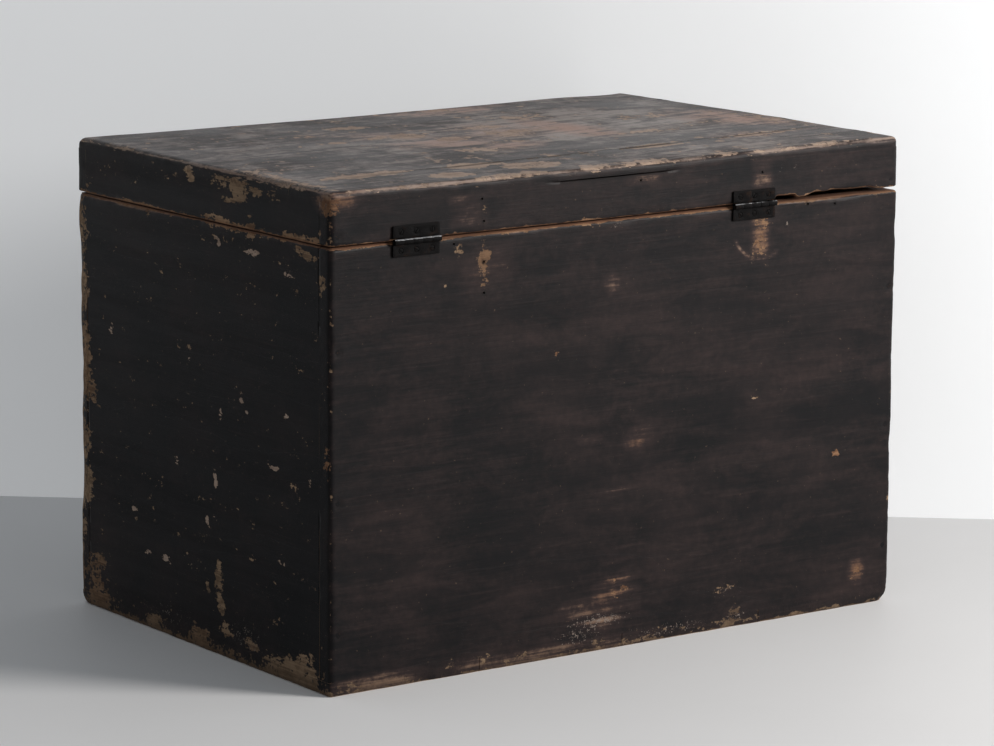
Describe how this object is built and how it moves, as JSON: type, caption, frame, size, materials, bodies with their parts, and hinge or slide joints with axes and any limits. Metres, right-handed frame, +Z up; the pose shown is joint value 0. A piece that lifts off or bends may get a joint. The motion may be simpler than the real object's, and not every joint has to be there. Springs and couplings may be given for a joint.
{
  "type": "painted wooden chest",
  "caption": "Rectangular black-painted board chest with a framed flat lid that lifts on butt hinges screwed to its back, for storing blankets, clothes or tools.",
  "frame": {"origin": "on the floor under the middle of the chest, hinge barrels included", "axes": "+X along the chest's length, +Y out of the back where the hinges are, +Z up"},
  "size_m": [0.83, 0.5612, 0.577],
  "materials": {
    "black_paint": "worn matte black-brown paint on pine",
    "worn_wood": "bare aged pine, painted only on its outer edges",
    "hinge_iron": "blackened iron, bright where the barrel is rubbed",
    "nail_iron": "dark rusted iron under paint"
  },
  "bodies": {
    "chest": {"back_left_nail_1": "nail_iron", "back_left_nail_2": "nail_iron", "back_left_nail_3": "nail_iron", "back_lower_board": "black_paint", "back_right_nail_1": "nail_iron", "back_right_nail_2": "nail_iron", "back_right_nail_3": "nail_iron", "back_upper_board": "black_paint", "bottom_board_1": "worn_wood", "bottom_board_2": "worn_wood", "bottom_board_3": "worn_wood", "bottom_board_4": "worn_wood", "front_left_nail_1": "nail_iron", "front_left_nail_2": "nail_iron", "front_left_nail_3": "nail_iron", "front_lower_board": "black_paint", "front_right_nail_1": "nail_iron", "front_right_nail_2": "nail_iron", "front_right_nail_3": "nail_iron", "front_upper_board": "black_paint", "left_end_lower_board": "black_paint", "left_end_upper_board": "black_paint", "left_hinge_chest_leaf": "hinge_iron", "left_hinge_chest_screw_1": "hinge_iron", "left_hinge_chest_screw_2": "hinge_iron", "left_hinge_chest_screw_3": "hinge_iron", "left_hinge_pin": "hinge_iron", "right_end_lower_board": "black_paint", "right_end_upper_board": "black_paint", "right_hinge_chest_leaf": "hinge_iron", "right_hinge_chest_screw_1": "hinge_iron", "right_hinge_chest_screw_2": "hinge_iron", "right_hinge_chest_screw_3": "hinge_iron", "right_hinge_pin": "hinge_iron"},
    "lid": {"left_hinge_lid_leaf": "hinge_iron", "left_hinge_lid_screw_1": "hinge_iron", "left_hinge_lid_screw_2": "hinge_iron", "left_hinge_lid_screw_3": "hinge_iron", "lid_back_left_nail": "nail_iron", "lid_back_rail": "black_paint", "lid_back_right_nail": "nail_iron", "lid_front_left_nail": "nail_iron", "lid_front_rail": "black_paint", "lid_front_right_nail": "nail_iron", "lid_left_rail": "black_paint", "lid_right_rail": "black_paint", "right_hinge_lid_leaf": "hinge_iron", "right_hinge_lid_screw_1": "hinge_iron", "right_hinge_lid_screw_2": "hinge_iron", "right_hinge_lid_screw_3": "hinge_iron", "top_back_board": "black_paint", "top_back_left_nail": "nail_iron", "top_back_right_nail": "nail_iron", "top_front_left_nail": "nail_iron", "top_front_right_nail": "nail_iron", "top_middle_left_nail": "nail_iron", "top_middle_right_nail": "nail_iron", "top_wide_board": "black_paint"}
  },
  "joints": [
    {"name": "lid_hinge", "type": "hinge", "parent": "chest", "child": "lid", "pos_m": [0, 0.27715, 0.51425], "axis": [-1, 0, 0], "range_deg": [0, 180]}
  ]
}
